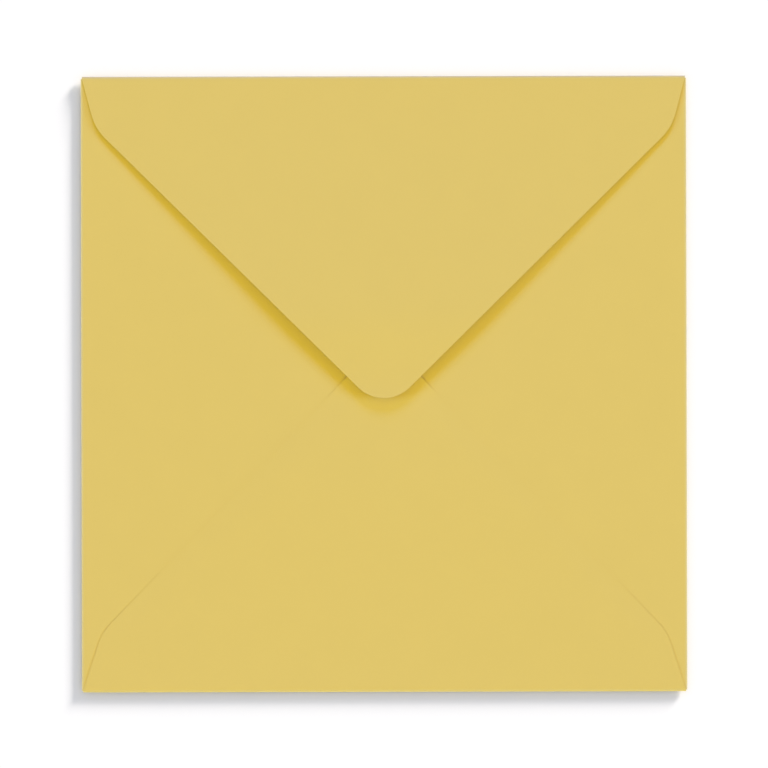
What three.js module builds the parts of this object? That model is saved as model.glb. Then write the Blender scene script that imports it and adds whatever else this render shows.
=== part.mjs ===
// A square envelope of yellow paper: one die-cut sheet with four pointed flaps, folded flat. It lies
// on its front panel with the flaps up, in millimetres, +Z up and +Y towards the closing flap's fold.
// The origin is the middle of the envelope on the surface that it lies on.
import * as THREE from 'three';
import { mergeVertices } from 'three/addons/utils/BufferGeometryUtils.js';

// Overall size, taken over the folds
const WIDTH = 155;
const HEIGHT = 157.6;

// Paper and folds. A crease radius is that of the middle of the paper.
const PAPER = 0.15;
const SIDE_CREASE_RADIUS = 0.25;
const LAYER_GAP = 0.1;

// The empty envelope springs open a little: its edges lift off the table and its back bulges
const EDGE_LIFT = 0.8;
const EDGE_LIFT_MARGIN = 30;
const BACK_BULGE = 1;
const BACK_BULGE_MARGIN = 60;
const CLOSING_FLAP_SPRING = THREE.MathUtils.degToRad(2.3);

// The bottom flap is glued to the side flaps, and the end of its tip, past the glue, stands up a little
const BOTTOM_TIP_RISE = 0.7;
const TIP_RISE_LENGTH = 20;

// How far each flap's tip goes past the middle of the envelope, or stays short of it
const CLOSING_TIP_PAST_MIDDLE = 3.6;
const BOTTOM_TIP_PAST_MIDDLE = 7.4;
const SIDE_TIP_SHORT_OF_MIDDLE = 2.8;

// Corners of the flaps: a shoulder tapers in from the fold, is rounded into the straight edge, and
// the straight edge is rounded into the tip
const CLOSING_CORNERS = { shoulderDepth: 12.7, shoulderInset: 3.4, shoulderRadius: 13.5, tipRadius: 9.3 };
const BOTTOM_CORNERS = { shoulderDepth: 14.9, shoulderInset: 4.9, shoulderRadius: 14, tipRadius: 10 };
const SIDE_CORNERS = { shoulderDepth: 14, shoulderInset: 4, shoulderRadius: 15, tipRadius: 10 };

// Facets across the panel and the flaps, and along each stretch of a flap
const COLUMNS = 14;
const ROWS = { bend: 6, shoulder: 3, shoulderArc: 4, edge: 6, tipArc: 5 };

const PAPER_COLOUR = 0xe0c66d;

// Each fold clears the layers inside it: the bottom flap lies over the side flaps, and the closing
// flap over the bottom flap
const LAYER_PITCH = PAPER + LAYER_GAP;
const BOTTOM_CREASE_RADIUS = SIDE_CREASE_RADIUS + LAYER_PITCH / 2;
const CLOSING_CREASE_RADIUS = BOTTOM_CREASE_RADIUS + LAYER_PITCH / 2;

// The panel between the fold lines, and the height of its edges
const PANEL_HALF_WIDTH = WIDTH / 2 - SIDE_CREASE_RADIUS - PAPER / 2;
const PANEL_HALF_HEIGHT = (HEIGHT - BOTTOM_CREASE_RADIUS - CLOSING_CREASE_RADIUS - PAPER) / 2;
const PANEL_EDGE_Z = PAPER / 2 + EDGE_LIFT;

const UP = new THREE.Vector3(0, 0, 1);

// The four flaps. Each is described as if it were the upper one, and turned about the panel's middle.
const uprightFold = { halfLength: PANEL_HALF_WIDTH, foldDistance: PANEL_HALF_HEIGHT };
const sidewaysFold = { halfLength: PANEL_HALF_HEIGHT, foldDistance: PANEL_HALF_WIDTH };
const sideFlap = {
  ...sidewaysFold,
  ...SIDE_CORNERS,
  reach: PANEL_HALF_WIDTH - SIDE_TIP_SHORT_OF_MIDDLE,
  creaseRadius: SIDE_CREASE_RADIUS,
  bendAngle: Math.PI,
  tipRise: 0,
};
const FLAPS = [
  { ...sideFlap, turn: Math.PI / 2 },
  { ...sideFlap, turn: -Math.PI / 2 },
  {
    ...uprightFold,
    ...BOTTOM_CORNERS,
    reach: PANEL_HALF_HEIGHT + BOTTOM_TIP_PAST_MIDDLE,
    creaseRadius: BOTTOM_CREASE_RADIUS,
    bendAngle: Math.PI,
    tipRise: BOTTOM_TIP_RISE,
    turn: Math.PI,
  },
  {
    ...uprightFold,
    ...CLOSING_CORNERS,
    reach: PANEL_HALF_HEIGHT + CLOSING_TIP_PAST_MIDDLE,
    creaseRadius: CLOSING_CREASE_RADIUS,
    bendAngle: Math.PI - CLOSING_FLAP_SPRING,
    tipRise: 0,
    turn: 0,
  },
];

// 0 at the panel's edges and 1 from `margin` inwards, level at both ends so that the folds stay straight
function cushion(x, y, margin) {
  const acrossWidth = THREE.MathUtils.smoothstep(PANEL_HALF_WIDTH - Math.abs(x), 0, margin);
  const acrossHeight = THREE.MathUtils.smoothstep(PANEL_HALF_HEIGHT - Math.abs(y), 0, margin);
  return acrossWidth * acrossHeight;
}

// Middle of the paper in the front panel
function panelSurface(x, y) {
  const lift = EDGE_LIFT * (1 - cushion(x, y, EDGE_LIFT_MARGIN));
  return new THREE.Vector3(x, y, PAPER / 2 + lift);
}

// Middle of the paper in a flap, for a point of the flat sheet given along the fold and out from it
function flapSurface(flap, along, out) {
  const bend = Math.min(out / flap.creaseRadius, flap.bendAngle);
  const straight = Math.max(out - flap.creaseRadius * flap.bendAngle, 0);
  const beyondFold = flap.creaseRadius * Math.sin(bend) + straight * Math.cos(bend);
  const rise = flap.creaseRadius * (1 - Math.cos(bend)) + straight * Math.sin(bend);
  const tipRise = flap.tipRise
    * THREE.MathUtils.smoothstep(straight, flap.reach - TIP_RISE_LENGTH, flap.reach);
  const point = new THREE.Vector3(along, flap.foldDistance + beyondFold, 0).applyAxisAngle(UP, flap.turn);
  const bulge = BACK_BULGE * cushion(point.x, point.y, BACK_BULGE_MARGIN);
  point.z = PANEL_EDGE_Z + rise + tipRise + bulge;
  return point;
}

// The two faces of the paper at one point of a surface, half the paper to each side of its middle
function paperFaces(surface, p, q) {
  const step = 1e-3;
  const alongP = surface(p + step, q).sub(surface(p - step, q));
  const alongQ = surface(p, q + step).sub(surface(p, q - step));
  const halfPaper = alongP.cross(alongQ).setLength(PAPER / 2);
  const middle = surface(p, q);
  return { inner: middle.clone().add(halfPaper), outer: middle.clone().sub(halfPaper) };
}

// Half of a flap's cut edge, from the end of its fold to the middle of its tip, in the flat sheet:
// x is the distance from the flap's centre line and y is the distance from the fold
function cutEdge(flap) {
  const shoulderAngle = Math.atan2(flap.shoulderInset, flap.shoulderDepth);
  const shoulder = new THREE.Vector2(flap.halfLength - flap.shoulderInset, flap.shoulderDepth);
  const tipCentre = flap.reach - flap.tipRadius;
  const shoulderDistance = Math.hypot(shoulder.x, shoulder.y - tipCentre);
  // The straight edge leaves the shoulder and touches the tip's circle, at this angle round it
  const edgeAngle = Math.atan2(shoulder.y - tipCentre, shoulder.x)
    + Math.acos(flap.tipRadius / shoulderDistance);
  const toTangent = flap.shoulderRadius * Math.tan((edgeAngle - shoulderAngle) / 2);
  const arcStart = new THREE.Vector2(
    shoulder.x + toTangent * Math.sin(shoulderAngle),
    shoulder.y - toTangent * Math.cos(shoulderAngle),
  );
  const arcCentre = new THREE.Vector2(
    arcStart.x - flap.shoulderRadius * Math.cos(shoulderAngle),
    arcStart.y - flap.shoulderRadius * Math.sin(shoulderAngle),
  );
  const edge = new THREE.Path();
  edge.moveTo(flap.halfLength, 0);
  edge.lineTo(arcStart.x, arcStart.y);
  edge.absarc(arcCentre.x, arcCentre.y, flap.shoulderRadius, shoulderAngle, edgeAngle);
  edge.lineTo(flap.tipRadius * Math.cos(edgeAngle), tipCentre + flap.tipRadius * Math.sin(edgeAngle));
  edge.absarc(0, tipCentre, flap.tipRadius, edgeAngle, Math.PI / 2);
  return edge;
}

// Rows of the flat flap from its fold to its tip: how far out each is, and half its length
function flapRows(flap) {
  const bendLength = flap.creaseRadius * flap.bendAngle;
  const rows = [];
  for (let i = 0; i <= ROWS.bend; i += 1) {
    rows.push({ half: flap.halfLength, out: bendLength * i / ROWS.bend });
  }
  const counts = [ROWS.shoulder, ROWS.shoulderArc, ROWS.edge, ROWS.tipArc];
  cutEdge(flap).curves.forEach((curve, index) => {
    for (const point of curve.getPoints(counts[index]).slice(1)) {
      rows.push({ half: point.x, out: bendLength + point.y });
    }
  });
  rows.at(-1).half = 0;
  return rows;
}

// Places from -1 to 1 across a row, closer together towards its ends, where the paper curves most
const SPREAD = Array.from({ length: COLUMNS + 1 }, (_, i) => Math.sin(Math.PI * (i / COLUMNS - 0.5)));

function panelGrid() {
  return SPREAD.map((v) => SPREAD.map((u) => (
    paperFaces(panelSurface, u * PANEL_HALF_WIDTH, v * PANEL_HALF_HEIGHT)
  )));
}

function flapGrid(flap) {
  const surface = (along, out) => flapSurface(flap, along, out);
  return flapRows(flap).map((row) => SPREAD.map((u) => paperFaces(surface, u * row.half, row.out)));
}

// Two triangles between four corners, without one that has closed up to a line at a flap's tip
function addQuad(triangles, a, b, c, d) {
  const closed = (p, q) => p.distanceTo(q) < 1e-6;
  if (!closed(a, b)) {
    triangles.push(a, b, c);
  }
  if (!closed(c, d)) {
    triangles.push(a, c, d);
  }
}

// Both faces of a grid of the sheet
function addFaces(triangles, grid) {
  for (let j = 0; j < grid.length - 1; j += 1) {
    for (let i = 0; i < COLUMNS; i += 1) {
      const corners = [grid[j][i], grid[j][i + 1], grid[j + 1][i + 1], grid[j + 1][i]];
      const outward = corners.slice().reverse();
      addQuad(triangles, ...corners.map((corner) => corner.inner));
      addQuad(triangles, ...outward.map((corner) => corner.outer));
    }
  }
}

// The cut edges down both sides of a flap, as thick as the paper
function addCutEdges(triangles, grid) {
  for (let j = 0; j < grid.length - 1; j += 1) {
    const [first, next] = [grid[j], grid[j + 1]];
    addQuad(triangles, first[0].outer, first[0].inner, next[0].inner, next[0].outer);
    const end = COLUMNS;
    addQuad(triangles, first[end].inner, first[end].outer, next[end].outer, next[end].inner);
  }
}

function envelopeGeometry() {
  const triangles = [];
  addFaces(triangles, panelGrid());
  for (const flap of FLAPS) {
    const grid = flapGrid(flap);
    addFaces(triangles, grid);
    addCutEdges(triangles, grid);
  }
  const geometry = mergeVertices(new THREE.BufferGeometry().setFromPoints(triangles), 1e-5);
  geometry.computeVertexNormals();
  return geometry;
}

const paper = new THREE.MeshStandardMaterial({ color: PAPER_COLOUR, roughness: 0.85, metalness: 0 });
const envelope = new THREE.Mesh(envelopeGeometry(), paper);
envelope.name = 'envelope';
// The closing fold is wider than the bottom one, so the panel lies off the middle by half the difference
envelope.position.y = (BOTTOM_CREASE_RADIUS - CLOSING_CREASE_RADIUS) / 2;

const part = new THREE.Group();
part.add(envelope);

export default part;
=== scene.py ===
"""A square envelope of yellow paper, folded from one die-cut sheet and lying flap side up."""

import math
from typing import NamedTuple

import bpy
from bpy.props import FloatProperty, FloatVectorProperty, PointerProperty
from mathutils import Euler, Matrix, Vector
from mathutils.geometry import intersect_point_line


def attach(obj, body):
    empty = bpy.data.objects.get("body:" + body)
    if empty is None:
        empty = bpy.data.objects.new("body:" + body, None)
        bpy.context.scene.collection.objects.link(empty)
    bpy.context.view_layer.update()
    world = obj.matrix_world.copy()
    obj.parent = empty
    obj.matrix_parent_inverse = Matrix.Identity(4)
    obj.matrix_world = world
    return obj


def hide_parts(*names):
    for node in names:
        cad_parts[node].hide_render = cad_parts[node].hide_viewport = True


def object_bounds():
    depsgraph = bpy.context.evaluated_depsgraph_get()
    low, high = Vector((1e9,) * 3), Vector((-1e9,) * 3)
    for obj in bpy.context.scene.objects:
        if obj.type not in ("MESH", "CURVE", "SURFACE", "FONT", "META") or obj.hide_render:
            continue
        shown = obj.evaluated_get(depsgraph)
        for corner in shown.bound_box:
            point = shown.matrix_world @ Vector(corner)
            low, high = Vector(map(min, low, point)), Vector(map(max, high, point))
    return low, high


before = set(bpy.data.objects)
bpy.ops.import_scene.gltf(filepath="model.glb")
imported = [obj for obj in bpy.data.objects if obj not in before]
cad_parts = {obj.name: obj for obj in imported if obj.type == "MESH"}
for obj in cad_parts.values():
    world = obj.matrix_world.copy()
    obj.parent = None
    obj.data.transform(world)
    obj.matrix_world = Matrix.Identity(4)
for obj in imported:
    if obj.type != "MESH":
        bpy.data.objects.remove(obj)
CAD_LOW, CAD_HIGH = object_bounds()

bl_info = {
    "name": "Square envelope",
    "version": (1, 0, 0),
    "blender": (4, 5, 0),
    "location": "View3D > Sidebar > Envelope",
    "description": "Cuts, creases and folds a square paper envelope and lights it on a pale floor",
    "category": "Object",
}

MM = 0.001
CAD_NODE = "envelope"
BODY = "root"
PAPER_OBJECT = "envelope_paper"

# The cut corners of each kind of flap: depth and inset of its shoulder, radius of the shoulder and of
# the tip. Its tip stops short of the panel's middle or passes it.
SIDE_CORNERS = (14 * MM, 4 * MM, 15 * MM, 10 * MM)
BOTTOM_CORNERS = (14.9 * MM, 4.9 * MM, 14 * MM, 10 * MM)
CLOSING_CORNERS = (12.7 * MM, 3.4 * MM, 13.5 * MM, 9.3 * MM)
SIDE_SHORT_OF_MIDDLE = 2.8 * MM
BOTTOM_PAST_MIDDLE = 7.4 * MM
CLOSING_PAST_MIDDLE = 3.6 * MM

# The glued stretch of the bottom flap's cut edge, by its depth past the crease: it begins and ends
# over these lengths, and the shoulders before it are pressed half as flat
PRESSED_GROUP = "pressed edge"
GLUE_BEGINS = (14 * MM, 22 * MM)
GLUE_ENDS = (77 * MM, 79.5 * MM)
SHOULDER_PRESSED = 0.5

# Facets: across the sheet, round a crease, and along each stretch of a flap's cut edge
COLUMNS = 48
BEND_ROWS = 12
FOLD_EDGE_ROWS, SHOULDER_ROWS, STRAIGHT_ROWS, TIP_ROWS = 10, 10, 26, 14
# Two vertices nearer than this are one, and a vertex farther out than this is beyond its fold
SAME_POINT = 0.001 * MM
JUST_BEYOND = 0.0001 * MM
# The paper's cut edges are sharper than this, and its creases are smooth
SHARP_ANGLE = math.radians(50)

# Patches in the paper's colour and surface, and how far the colour strays to either side
CLOUD_SIZE = 9 * MM
FIBRE_SIZE = 0.5 * MM
TOOTH_SIZE = 0.25 * MM
TOOTH_DEPTH = 0.02 * MM
COLOUR_STRAYS = 0.025

# The photograph's frame, its scale on the envelope and how far the envelope is turned in it
FRAME_PIXELS = 768
PIXELS_PER_MM = 3.903
FRAME_TURN = math.radians(-0.125)
CAMERA_HEIGHT = 1.6
CAMERA_SENSOR = 36
CAMERA_REACH = 50
FLOOR_HALF = 15
# The floor lies a hair below the envelope, so that no two faces share one plane
FLOOR_LEVEL = -0.02 * MM

# Soft lamps. Each has an azimuth, 0 towards the closing flap's fold and 90 to the right, an elevation
# and the width of its disc in degrees, and the light that it gives a level surface, where 1 in all is
# full. A cool key from the top and the sides meets warm light from overhead and from the near side, so
# the shadow under the closing flap is golden. The floor has lamps of its own, and its shadow is grey.
PAPER_LAMPS = (
    ("cool key", 0, 30, 20, (0.05, 0.09, 0.41)),
    ("cool left", -90, 32, 20, (0.04, 0.09, 0.225)),
    ("cool right", 90, 26, 20, (0.08, 0.12, 0.28)),
    ("warm near", 180, 52, 40, (0.25, 0.25, 0.0)),
    ("warm overhead", 0, 90, 100, (0.542, 0.404, 0.0)),
    ("low near", 180, 8, 20, (0.01, 0.01, 0.01)),
    ("low left", -90, 8, 20, (0.01, 0.008, 0.0)),
    ("soft fill", 0, 90, 180, (0.02, 0.02, 0.02)),
)
FLOOR_LAMPS = (
    ("floor low", 42, 16, 14, (0.285, 0.275, 0.255)),
    ("floor high", 50, 20, 14, (0.135, 0.125, 0.125)),
    ("floor dome", 0, 90, 180, (0.68, 0.69, 0.72)),
)


def length(name, description, default):
    return FloatProperty(
        name=name, description=description, default=default, unit="LENGTH", precision=5
    )


def angle(name, description, degrees):
    return FloatProperty(
        name=name, description=description, default=math.radians(degrees), subtype="ANGLE"
    )


def colour(name, description, default):
    return FloatVectorProperty(
        name=name, description=description, default=default, subtype="COLOR", min=0, max=1
    )


class EnvelopeSheetSettings(bpy.types.PropertyGroup):
    """Sizes of the paper and its folds"""

    width: length("Width", "Width over the side folds", CAD_HIGH.x - CAD_LOW.x)
    height: length("Height", "Height over the top and bottom folds", CAD_HIGH.y - CAD_LOW.y)
    paper: length("Paper", "Thickness of the paper", 0.15 * MM)
    crease_radius: length(
        "Crease radius", "Radius of the side folds, to the middle of the paper", 0.25 * MM
    )
    layer_gap: length("Layer gap", "Air between two layers of the back", 0.1 * MM)
    edge_lift: length("Edge lift", "How far the edges spring off the floor", 0.8 * MM)
    edge_lift_margin: length(
        "Edge lift margin", "How far in from the edges the front is off the floor", 30 * MM
    )
    back_bulge: length("Back bulge", "How far the back springs away from the front", 1 * MM)
    back_bulge_margin: length(
        "Back bulge margin", "How far in from the edges the back goes on rising", 60 * MM
    )
    flap_spring: angle("Flap spring", "Angle at which the closing flap stands off its fold", 2.3)
    tip_rise: length("Tip rise", "How far the bottom flap's tip stands up", 0.7 * MM)
    tip_rise_length: length("Tip rise length", "How much of the bottom flap stands up", 10 * MM)
    tip_droop: length("Tip droop", "How far the closing flap's tip bends back down", 1.1 * MM)
    tip_droop_length: length("Tip droop length", "How much of the closing flap bends", 22 * MM)
    glue_pull: length("Glue pull", "How far glue draws the bottom flap down", 0.08 * MM)
    glue_start: length("Glue start", "Distance past the crease where glue begins to pull", 8 * MM)
    glue_ramp: length("Glue ramp", "Distance over which the glue's pull builds up", 30 * MM)
    pressed_edge: FloatProperty(
        name="Pressed edge",
        description="Thickness of the bottom flap's glued cut edge, as a share of the paper",
        default=0.35,
        min=0.05,
        max=1,
        subtype="FACTOR",
    )
    pressed_width: length("Pressed width", "How far in from the cut edge it is pressed", 6 * MM)


class EnvelopeLookSettings(bpy.types.PropertyGroup):
    """Colours of the paper and the floor"""

    paper: colour("Paper", "Colour of the paper's face", (0.745, 0.565, 0.153))
    # The paler band along the folds is partly rubbed paper and partly painted highlight where the fold
    # turns from the lamps
    worn_and_highlight: colour("Worn fold", "Colour of the paper where its folds are rubbed", (0.71, 0.59, 0.27))
    worn_and_highlight_width: length("Worn width", "How far in from the outline it is rubbed", 0.8 * MM)
    # The fold rim colour is a painted highlight on the very edge of each fold, brighter than the paper
    rim_highlight: colour("Fold rim", "Colour of the paper on the very edge of a fold", (0.93, 0.79, 0.36))
    rim_highlight_width: length("Rim width", "How far in from the outline the rim reaches", 0.3 * MM)
    floor: colour("Floor", "Colour of the floor", (0.93, 0.93, 0.93))


class Flap:
    """One flap of the flat sheet, described as the upper one and turned about the panel's middle."""

    def __init__(self, turn, half_length, fold_distance, reach, corners, crease_radius, bend_angle):
        self.turn = turn
        self.half_length = half_length
        self.fold_distance = fold_distance
        self.reach = reach
        self.shoulder_depth, self.shoulder_inset, self.shoulder_radius, self.tip_radius = corners
        self.crease_radius = crease_radius
        self.bend_angle = bend_angle

    def bend_length(self):
        return self.crease_radius * self.bend_angle

    def cut_edge(self):
        """Half of the cut edge as (distance from the centre line, distance from the fold) points."""
        shoulder_angle = math.atan2(self.shoulder_inset, self.shoulder_depth)
        shoulder = Vector((self.half_length - self.shoulder_inset, self.shoulder_depth))
        tip_centre = Vector((0, self.reach - self.tip_radius))
        to_shoulder = shoulder - tip_centre
        # The straight edge leaves the shoulder and touches the tip's circle, at this angle round it
        edge_angle = math.atan2(to_shoulder.y, to_shoulder.x) + math.acos(
            self.tip_radius / to_shoulder.length
        )
        to_tangent = self.shoulder_radius * math.tan((edge_angle - shoulder_angle) / 2)
        sine, cosine = math.sin(shoulder_angle), math.cos(shoulder_angle)
        arc_start = shoulder + to_tangent * Vector((sine, -cosine))
        arc_centre = arc_start - self.shoulder_radius * Vector((cosine, sine))
        shoulder_arc = arc(
            arc_centre, self.shoulder_radius, shoulder_angle, edge_angle, SHOULDER_ROWS
        )
        tip_arc = arc(tip_centre, self.tip_radius, edge_angle, math.pi / 2, TIP_ROWS)
        tip_arc[-1].x = 0
        return [
            *line(Vector((self.half_length, 0)), shoulder_arc[0], FOLD_EDGE_ROWS),
            *shoulder_arc[1:],
            *line(shoulder_arc[-1], tip_arc[0], STRAIGHT_ROWS)[1:],
            *tip_arc[1:],
        ]

    def rows(self):
        """Every row of the flat flap: half its length, and how far out from the fold it is."""
        bend = self.bend_length()
        rows = [(self.half_length, bend * i / BEND_ROWS) for i in range(BEND_ROWS)]
        return rows + [(point.x, bend + point.y) for point in self.cut_edge()]

    def flat_point(self, along, out):
        """A point of the flat sheet, by its place along the fold and its distance out from it."""
        return Matrix.Rotation(self.turn, 3, "Z") @ Vector((along, self.fold_distance + out, 0))


def arc(centre, radius, start, end, pieces):
    """Points along a circle, from the angle `start` to the angle `end`."""
    angles = [start + (end - start) * i / pieces for i in range(pieces + 1)]
    return [centre + radius * Vector((math.cos(a), math.sin(a))) for a in angles]


def line(start, end, pieces):
    """Points along a straight line, with both of its ends."""
    return [start.lerp(end, i / pieces) for i in range(pieces + 1)]


class Sheet:
    """The panel and the four flaps, from the sheet's settings."""

    def __init__(self, settings):
        pitch = settings.paper + settings.layer_gap
        side_radius = settings.crease_radius
        bottom_radius = side_radius + pitch / 2
        closing_radius = bottom_radius + pitch / 2
        self.half_width = settings.width / 2 - side_radius - settings.paper / 2
        self.half_height = (settings.height - bottom_radius - closing_radius - settings.paper) / 2
        # The closing fold is wider than the bottom one, so the panel lies off the middle
        self.middle_y = (bottom_radius - closing_radius) / 2
        upright = {"half_length": self.half_width, "fold_distance": self.half_height}
        side = {
            "half_length": self.half_height,
            "fold_distance": self.half_width,
            "reach": self.half_width - SIDE_SHORT_OF_MIDDLE,
            "corners": SIDE_CORNERS,
            "crease_radius": side_radius,
            "bend_angle": math.pi,
        }
        self.left = Flap(math.pi / 2, **side)
        self.right = Flap(-math.pi / 2, **side)
        self.bottom = Flap(
            math.pi,
            **upright,
            reach=self.half_height + BOTTOM_PAST_MIDDLE,
            corners=BOTTOM_CORNERS,
            crease_radius=bottom_radius,
            bend_angle=math.pi,
        )
        self.closing = Flap(
            0,
            **upright,
            reach=self.half_height + CLOSING_PAST_MIDDLE,
            corners=CLOSING_CORNERS,
            crease_radius=closing_radius,
            bend_angle=math.pi - settings.flap_spring,
        )
        self.flaps = (self.left, self.right, self.bottom, self.closing)


def spread():
    """Places from -1 to 1 across a row, closer together towards its ends."""
    return [math.sin(math.pi * (i / COLUMNS - 0.5)) for i in range(COLUMNS + 1)]


def smoothstep(value, start, end):
    """0 up to `start` and 1 from `end` onwards, level at both ends."""
    t = min(max((value - start) / (end - start), 0), 1)
    return t * t * (3 - 2 * t)


def pressed_weights(flap, grid, rows, width):
    """How flat each vertex of the bottom flap is pressed: 1 at the glued part of its cut edge, less
    at its shoulders, and 0 at its loose tip and from `width` inwards."""
    edge = flap.cut_edge()
    weights = {}
    for indices, (half, out) in zip(grid, rows):
        depth = out - flap.bend_length()
        begun = SHOULDER_PRESSED + (1 - SHOULDER_PRESSED) * smoothstep(depth, *GLUE_BEGINS)
        glued = begun * (1 - smoothstep(depth, *GLUE_ENDS))
        if glued == 0:
            continue
        for index, u in zip(indices, spread()):
            place = Vector((abs(u) * half, depth))
            # The flap is convex, so the nearest of its edges' lines is the nearest edge
            feet = (intersect_point_line(place, a, b)[0].to_2d() for a, b in zip(edge, edge[1:]))
            inside = min((foot - place).length for foot in feet)
            weights[index] = glued * (1 - smoothstep(inside, 0, width))
    return weights


def flat_sheet(sheet, pressed_width):
    """The die-cut blank, flat: a square panel with a flap along each of its sides."""
    places, faces, known = [], [], {}

    def corner(point):
        # Points that round to the same key, in steps of a hundredth of a micron, are one vertex
        key = tuple(round(c * 1e8) for c in point)
        if key not in known:
            known[key] = len(places)
            places.append(tuple(point))
        return known[key]

    def add_grid(rows):
        grid = [[corner(point) for point in row] for row in rows]
        for below, above in zip(grid, grid[1:]):
            for i in range(COLUMNS):
                ring = [below[i], below[i + 1], above[i + 1], above[i]]
                faces.append(list(dict.fromkeys(ring)))
        return grid

    across = spread()
    half_width, half_height = sheet.half_width, sheet.half_height
    add_grid([[Vector((u * half_width, v * half_height, 0)) for u in across] for v in across])
    for flap in sheet.flaps:
        rows = flap.rows()
        grid = add_grid([[flap.flat_point(u * half, out) for u in across] for half, out in rows])
        if flap is sheet.bottom:
            weights = pressed_weights(flap, grid, rows, pressed_width)
    mesh = bpy.data.meshes.new("envelope_sheet")
    mesh.from_pydata(places, [], faces)
    mesh.validate()
    mesh.polygons.foreach_set("use_smooth", [True] * len(mesh.polygons))
    obj = bpy.data.objects.new(PAPER_OBJECT, mesh)
    group = obj.vertex_groups.new(name=PRESSED_GROUP)
    for index, weight in weights.items():
        group.add([index], weight, "REPLACE")
    return obj


class NodeWriter:
    """Adds nodes to a tree, so that a rule reads like a formula."""

    def __init__(self, tree):
        self.tree = tree

    def add(self, kind, inputs=(), **settings):
        node = self.tree.nodes.new(kind)
        for name, value in settings.items():
            setattr(node, name, value)
        pairs = inputs.items() if isinstance(inputs, dict) else enumerate(inputs)
        for key, value in pairs:
            if isinstance(value, bpy.types.NodeSocket):
                self.tree.links.new(value, node.inputs[key])
            else:
                node.inputs[key].default_value = value
        return node

    def maths(self, operation, *values):
        return self.add("ShaderNodeMath", values, operation=operation).outputs[0]

    def sum(self, *values):
        total = values[0]
        for value in values[1:]:
            total = self.maths("ADD", total, value)
        return total

    def product(self, *values):
        total = values[0]
        for value in values[1:]:
            total = self.maths("MULTIPLY", total, value)
        return total


def new_input(tree, name, kind, default, subtype="NONE"):
    """Gives a node tree one more named input."""
    socket = tree.interface.new_socket(name=name, in_out="INPUT", socket_type=kind)
    if subtype != "NONE":
        socket.subtype = subtype
    if default is not None:
        socket.default_value = default
    return socket


def smooth(w, value, start, end):
    """0 up to `start` and 1 from `end` onwards, level at both ends."""
    node = w.add(
        "ShaderNodeMapRange",
        {"Value": value, "From Min": start, "From Max": end},
        interpolation_type="SMOOTHSTEP",
    )
    return node.outputs["Result"]


def cushion(w, x, y, half_width, half_height, margin):
    """0 at the panel's edges and 1 from the margin inwards, level at both ends."""
    across = smooth(w, w.maths("SUBTRACT", half_width, w.maths("ABSOLUTE", x)), 0.0, margin)
    along = smooth(w, w.maths("SUBTRACT", half_height, w.maths("ABSOLUTE", y)), 0.0, margin)
    return w.product(across, along)


class Folded(NamedTuple):
    """What one flap's fold does to a point, as sockets."""

    shift: object
    rise: object
    beyond_fold: object
    past_crease: object


def folded(w, place, outwards, fold_distance, radius, bend_angle):
    """The rule for one flap: how far a point moves across the fold and up when the fold is made,
    whether it lies beyond the fold, and how far past the crease it lies."""
    out = w.maths("SUBTRACT", w.product(place, outwards), fold_distance)
    out = w.maths("MAXIMUM", out, 0.0)
    bend = w.maths("MINIMUM", w.maths("DIVIDE", out, radius), bend_angle)
    straight = w.maths("MAXIMUM", w.maths("SUBTRACT", out, w.product(radius, bend_angle)), 0.0)
    sine, cosine = w.maths("SINE", bend), w.maths("COSINE", bend)
    beyond = w.sum(w.product(radius, sine), w.product(straight, cosine))
    rise = w.sum(w.product(radius, w.maths("SUBTRACT", 1.0, cosine)), w.product(straight, sine))
    shift = w.product(outwards, w.maths("SUBTRACT", beyond, out))
    beyond_fold = w.maths("GREATER_THAN", out, JUST_BEYOND)
    return Folded(shift, rise, beyond_fold, straight)


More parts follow.
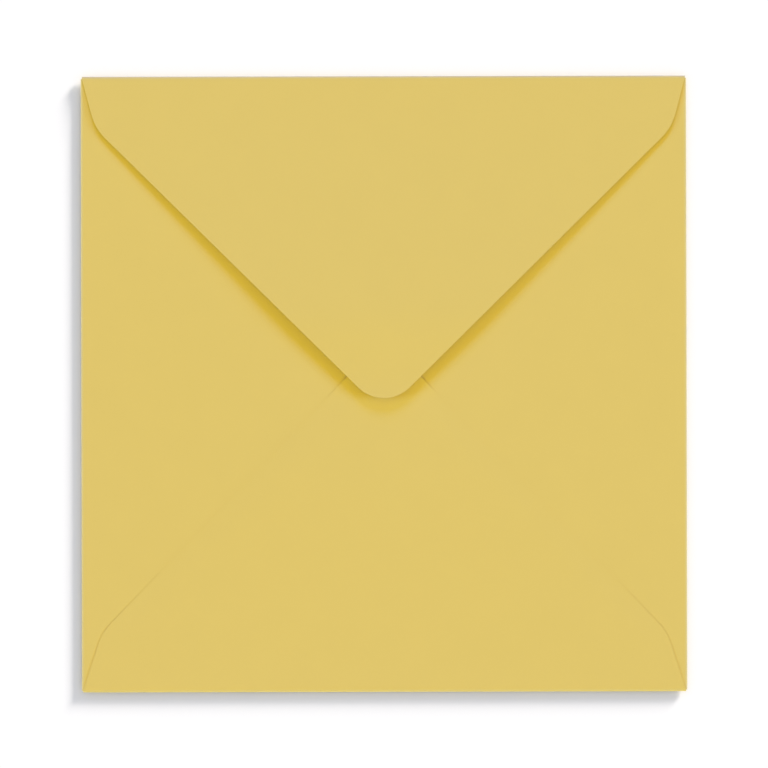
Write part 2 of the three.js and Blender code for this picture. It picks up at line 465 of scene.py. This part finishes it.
def fold_tree(sheet, settings, material):
    """The rule that folds the flat sheet: each flap goes round its crease and back over the panel."""
    tree = bpy.data.node_groups.new("Fold envelope", "GeometryNodeTree")
    w = NodeWriter(tree)
    values = {}

    def size(name, value, subtype="DISTANCE"):
        values[new_input(tree, name, "NodeSocketFloat", value, subtype).identifier] = value

    new_input(tree, "Sheet", "NodeSocketGeometry", None)
    size("Panel half width", sheet.half_width)
    size("Panel half height", sheet.half_height)
    size("Panel middle", sheet.middle_y)
    size("Side crease radius", sheet.left.crease_radius)
    size("Bottom crease radius", sheet.bottom.crease_radius)
    size("Closing crease radius", sheet.closing.crease_radius)
    size("Closing flap bend", sheet.closing.bend_angle, "ANGLE")
    size("Paper", settings.paper)
    size("Edge lift", settings.edge_lift)
    size("Edge lift margin", settings.edge_lift_margin)
    size("Back bulge", settings.back_bulge)
    size("Back bulge margin", settings.back_bulge_margin)
    size("Tip rise", settings.tip_rise)
    size("Tip rise start", sheet.bottom.reach - settings.tip_rise_length)
    size("Tip rise end", sheet.bottom.reach)
    size("Glue pull", settings.glue_pull)
    size("Glue start", settings.glue_start)
    size("Glue full", settings.glue_start + settings.glue_ramp)
    size("Pressed edge sinks", (1 - settings.pressed_edge) * settings.paper / 2)
    size("Tip droop", settings.tip_droop)
    size("Tip droop start", sheet.closing.reach - settings.tip_droop_length)
    size("Tip droop end", sheet.closing.reach)
    tree.interface.new_socket(name="Envelope", in_out="OUTPUT", socket_type="NodeSocketGeometry")
    given = w.add("NodeGroupInput").outputs

    flat = w.add("ShaderNodeSeparateXYZ", [w.add("GeometryNodeInputPosition").outputs[0]]).outputs
    half_width, half_height = given["Panel half width"], given["Panel half height"]
    side_radius = given["Side crease radius"]
    left = folded(w, flat["X"], -1.0, half_width, side_radius, math.pi)
    right = folded(w, flat["X"], 1.0, half_width, side_radius, math.pi)
    bottom = folded(w, flat["Y"], -1.0, half_height, given["Bottom crease radius"], math.pi)
    closing = folded(
        w, flat["Y"], 1.0, half_height, given["Closing crease radius"], given["Closing flap bend"]
    )
    flaps = (left, right, bottom, closing)
    x = w.sum(flat["X"], left.shift, right.shift)
    y = w.sum(flat["Y"], bottom.shift, closing.shift)
    rise = w.sum(*(flap.rise for flap in flaps))
    beyond_fold = w.sum(*(flap.beyond_fold for flap in flaps))

    front = cushion(w, x, y, half_width, half_height, given["Edge lift margin"])
    back = cushion(w, x, y, half_width, half_height, given["Back bulge margin"])
    in_panel = w.maths("SUBTRACT", 1.0, beyond_fold)
    tip = smooth(w, bottom.past_crease, given["Tip rise start"], given["Tip rise end"])
    glue = smooth(w, bottom.past_crease, given["Glue start"], given["Glue full"])
    before_tip = w.maths("SUBTRACT", 1.0, tip)
    droop = smooth(w, closing.past_crease, given["Tip droop start"], given["Tip droop end"])
    pressed = w.add("GeometryNodeInputNamedAttribute", {"Name": PRESSED_GROUP}, data_type="FLOAT")
    z = w.sum(
        w.product(given["Paper"], 0.5),
        w.product(given["Edge lift"], w.maths("SUBTRACT", 1.0, w.product(front, in_panel))),
        rise,
        w.product(given["Back bulge"], back, beyond_fold),
        w.product(given["Tip rise"], tip),
        w.product(given["Glue pull"], glue, before_tip, -1.0),
        w.product(given["Pressed edge sinks"], pressed.outputs["Attribute"], -1.0),
        w.product(given["Tip droop"], droop, -1.0),
    )
    place = w.add("ShaderNodeCombineXYZ", [x, w.sum(y, given["Panel middle"]), z]).outputs[0]
    made = w.add("GeometryNodeSetPosition", {"Geometry": given["Sheet"], "Position": place})
    made = w.add("GeometryNodeRealizeInstances", [made.outputs[0]])
    made = w.add("GeometryNodeSetMaterial", {"Geometry": made.outputs[0], "Material": material})
    w.add("NodeGroupOutput", [made.outputs[0]])
    return tree, values


def plain_mesh(obj):
    """Puts what an object's modifiers make in the place of its mesh."""
    made = bpy.data.meshes.new_from_object(obj.evaluated_get(bpy.context.evaluated_depsgraph_get()))
    made.name = obj.name
    obj.modifiers.clear()
    obj.data = made


def mixed(w, factor, first, second):
    """A colour between `first`, where the factor is 0, and `second`, where it is 1."""
    node = w.add("ShaderNodeMix", {"Factor": factor, "A": first, "B": second}, data_type="RGBA")
    return node.outputs["Result"]


def noise(w, place, size, detail, roughness=0.5):
    """Noise whose patches are about `size` across, from 0 to 1."""
    node = w.add(
        "ShaderNodeTexNoise",
        {"Vector": place, "Scale": 1 / size, "Detail": detail, "Roughness": roughness},
    )
    return node.outputs["Fac"]


def paper_material(look, sheet_settings):
    """Uncoated dyed paper: an almost even colour with faint clouds, fibres and a fine tooth. Along the
    folds it is paler, partly rubbed and partly painted highlight, with a brighter painted highlight on
    the very rim."""
    material = bpy.data.materials.new("Yellow envelope paper")
    material.use_nodes = True
    tree = material.node_tree
    tree.nodes.clear()
    w = NodeWriter(tree)
    place = w.add("ShaderNodeTexCoord").outputs["Object"]

    clouds = noise(w, place, CLOUD_SIZE, 3.0)
    fibres = noise(w, place, FIBRE_SIZE, 4.0, 0.6)
    shade = w.sum(w.product(clouds, 0.5), w.product(fibres, 0.5))
    deep = [c * (1 - COLOUR_STRAYS) for c in look.paper]
    pale = [min(c * (1 + COLOUR_STRAYS), 1) for c in look.paper]
    face = mixed(w, shade, (*deep, 1), (*pale, 1))

    # The distance in from the outline says where the folds are paler and carry painted highlights
    axes = w.add("ShaderNodeSeparateXYZ", [place]).outputs
    insides = [
        w.maths("SUBTRACT", size / 2, w.maths("ABSOLUTE", axes[axis]))
        for axis, size in (("X", sheet_settings.width), ("Y", sheet_settings.height))
    ]
    inside = w.maths("MINIMUM", *insides)
    patchy = w.sum(w.product(fibres, 0.6), 0.7)
    # The wide band is partly rubbed paper and partly painted highlight, and the narrow rim is a
    # painted highlight
    for wear_and_highlight, width in ((look.worn_and_highlight, look.worn_and_highlight_width), (look.rim_highlight, look.rim_highlight_width)):
        amount = w.product(smooth(w, inside, width, 0.0), patchy)
        face = mixed(w, amount, face, (*wear_and_highlight, 1))

    tooth = w.sum(w.product(noise(w, place, TOOTH_SIZE, 3.0), 0.7), w.product(fibres, 0.3))
    bump = w.add("ShaderNodeBump", {"Strength": 0.15, "Distance": TOOTH_DEPTH, "Height": tooth})
    rough = w.add("ShaderNodeMapRange", {"Value": fibres, "To Min": 0.8, "To Max": 0.92})
    surface = w.add(
        "ShaderNodeBsdfPrincipled",
        {
            "Base Color": face,
            "Roughness": rough.outputs["Result"],
            "Normal": bump.outputs["Normal"],
            "Specular IOR Level": 0.25,
        },
    )
    w.add("ShaderNodeOutputMaterial", {"Surface": surface.outputs[0]})
    return material


def floor_material(look):
    """A plain matt floor."""
    material = bpy.data.materials.new("White studio floor")
    material.use_nodes = True
    tree = material.node_tree
    tree.nodes.clear()
    w = NodeWriter(tree)
    surface = w.add(
        "ShaderNodeBsdfPrincipled",
        {"Base Color": (*look.floor, 1), "Roughness": 0.9, "Specular IOR Level": 0.0},
    )
    w.add("ShaderNodeOutputMaterial", {"Surface": surface.outputs[0]})
    return material


class ENVELOPE_OT_fold_sheet(bpy.types.Operator):
    """Cuts the sheet, folds it and gives it its paper"""

    bl_idname = "envelope.fold_sheet"
    bl_label = "Fold the envelope"

    def execute(self, context):
        settings = context.scene.envelope_sheet
        sheet = Sheet(settings)
        material = paper_material(context.scene.envelope_look, settings)
        obj = flat_sheet(sheet, settings.pressed_width)
        context.collection.objects.link(obj)
        tree, values = fold_tree(sheet, settings, material)
        # The panel's and a flap's points along a fold can differ in their last digit
        weld = obj.modifiers.new("Weld", "WELD")
        weld.merge_threshold = SAME_POINT
        fold = obj.modifiers.new("Fold", "NODES")
        fold.node_group = tree
        for identifier, value in values.items():
            fold[identifier] = value
        thickness = obj.modifiers.new("Paper", "SOLIDIFY")
        thickness.thickness = settings.paper
        thickness.offset = 0
        thickness.use_even_offset = True
        thickness.vertex_group = PRESSED_GROUP
        thickness.invert_vertex_group = True
        thickness.thickness_vertex_group = settings.pressed_edge
        plain_mesh(obj)
        obj.data.set_sharp_from_angle(angle=SHARP_ANGLE)
        if not obj.data.polygons:
            raise RuntimeError("the folded sheet has no faces")
        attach(obj, BODY)
        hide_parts(CAD_NODE)
        return {"FINISHED"}


def add_lamps(context, lamps, receivers):
    """Adds soft lamps that light only the `receivers`."""
    group = bpy.data.collections.new("lit " + receivers[0].name)
    for obj in receivers:
        group.objects.link(obj)
    for name, azimuth, elevation, width, share in lamps:
        lamp = bpy.data.lights.new(name, "SUN")
        lamp.angle = math.radians(width)
        strength = max(share)
        lamp.color = [part / strength for part in share]
        lamp.energy = strength * math.pi / math.sin(math.radians(elevation))
        obj = bpy.data.objects.new(name, lamp)
        obj.rotation_euler = Euler((math.radians(elevation - 90), 0, math.radians(-azimuth)))
        obj.light_linking.receiver_collection = group
        context.collection.objects.link(obj)


def add_camera(context):
    """The photograph's camera, which looks straight down."""
    camera = bpy.data.cameras.new("camera")
    camera.sensor_width = CAMERA_SENSOR
    frame_width = FRAME_PIXELS / PIXELS_PER_MM * MM
    camera.lens = camera.sensor_width * CAMERA_HEIGHT / frame_width
    camera.clip_end = CAMERA_REACH
    obj = bpy.data.objects.new("camera", camera)
    obj.location = (0, 0, CAMERA_HEIGHT)
    obj.rotation_euler = Euler((0, 0, FRAME_TURN))
    context.collection.objects.link(obj)
    context.scene.camera = obj


def add_floor(context):
    """A square floor that fills every view of the envelope from above."""
    mesh = bpy.data.meshes.new("floor")
    turns = ((-1, -1), (1, -1), (1, 1), (-1, 1))
    places = [(u * FLOOR_HALF, v * FLOOR_HALF, FLOOR_LEVEL) for u, v in turns]
    mesh.from_pydata(places, [], [(0, 1, 2, 3)])
    mesh.materials.append(floor_material(context.scene.envelope_look))
    obj = bpy.data.objects.new("floor", mesh)
    context.collection.objects.link(obj)
    return obj


class ENVELOPE_OT_set_stage(bpy.types.Operator):
    """Makes the floor, the lamps, the white beyond the floor and the camera"""

    bl_idname = "envelope.set_stage"
    bl_label = "Set the stage"

    def execute(self, context):
        floor = add_floor(context)
        envelope = context.scene.objects[PAPER_OBJECT]
        add_lamps(context, PAPER_LAMPS, [envelope])
        add_lamps(context, FLOOR_LAMPS, [floor])
        world = bpy.data.worlds.new("studio")
        world.use_nodes = True
        world.node_tree.nodes["Background"].inputs["Color"].default_value = (1, 1, 1, 1)
        context.scene.world = world
        # The white beyond the floor is only looked at: the lamps give all the light
        seen_by = world.cycles_visibility
        seen_by.diffuse = seen_by.glossy = seen_by.transmission = seen_by.scatter = False
        add_camera(context)
        context.scene.view_settings.view_transform = "Standard"
        return {"FINISHED"}


class ENVELOPE_PT_panel(bpy.types.Panel):
    """Lists the envelope's steps and sizes"""

    bl_label = "Square envelope"
    bl_idname = "ENVELOPE_PT_panel"
    bl_space_type = "VIEW_3D"
    bl_region_type = "UI"
    bl_category = "Envelope"

    def draw(self, context):
        layout = self.layout
        for settings in (context.scene.envelope_sheet, context.scene.envelope_look):
            column = layout.column(align=True)
            for name in settings.__annotations__:
                column.prop(settings, name)
        layout.operator(ENVELOPE_OT_fold_sheet.bl_idname)
        layout.operator(ENVELOPE_OT_set_stage.bl_idname)


CLASSES = (
    EnvelopeSheetSettings,
    EnvelopeLookSettings,
    ENVELOPE_OT_fold_sheet,
    ENVELOPE_OT_set_stage,
    ENVELOPE_PT_panel,
)


def register():
    for cls in CLASSES:
        bpy.utils.register_class(cls)
    bpy.types.Scene.envelope_sheet = PointerProperty(type=EnvelopeSheetSettings)
    bpy.types.Scene.envelope_look = PointerProperty(type=EnvelopeLookSettings)


def unregister():
    del bpy.types.Scene.envelope_look
    del bpy.types.Scene.envelope_sheet
    for cls in reversed(CLASSES):
        bpy.utils.unregister_class(cls)


def main():
    register()
    bpy.ops.envelope.fold_sheet()
    bpy.ops.envelope.set_stage()


if __name__ == "__main__":
    main()
